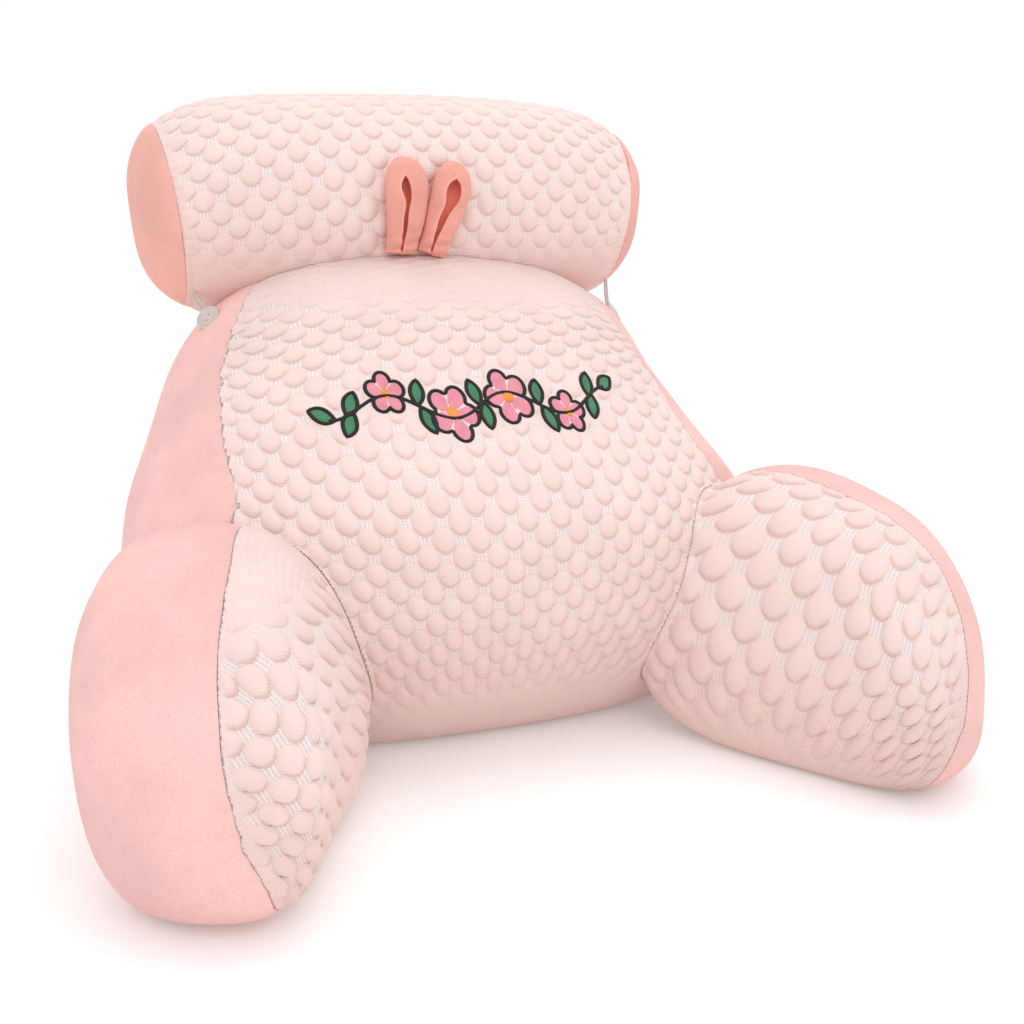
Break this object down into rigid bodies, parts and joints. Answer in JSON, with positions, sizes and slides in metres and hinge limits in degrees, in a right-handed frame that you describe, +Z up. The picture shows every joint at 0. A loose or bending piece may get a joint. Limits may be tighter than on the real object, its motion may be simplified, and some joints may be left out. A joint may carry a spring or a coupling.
{
  "type": "reading pillow with arms",
  "caption": "Stuffed backrest pillow with side arms and a round neck bolster on buttoned loops, quilted in front and plush behind, for reading in bed.",
  "frame": {"origin": "on the surface that the pillow rests on, under the middle of the back cushion", "axes": "+Z up, -Y out of the front between the arms, +X to the right of someone who faces the front"},
  "size_m": [0.6908, 0.6552, 0.5717],
  "materials": {
    "quilt": "matte puffed knit in pale pink, with raised bubbles and open lace between them",
    "plush": "short soft nap in a deeper pink",
    "ear_plush": "short soft nap in salmon",
    "button": "satin warm off-white",
    "elastic": "matte braided cord in warm off-white"
  },
  "bodies": {
    "root": {"back_quilt": "quilt", "back_plush": "plush", "arm_quilt_left": "quilt", "arm_quilt_right": "quilt", "arm_plush_left": "plush", "arm_plush_right": "plush", "bolster_quilt": "quilt", "bolster_cap_left": "plush", "bolster_cap_right": "plush", "ear_left": "ear_plush", "ear_right": "ear_plush", "button_left": "button", "button_right": "button", "loop_left": "elastic", "loop_right": "elastic"}
  },
  "joints": []
}
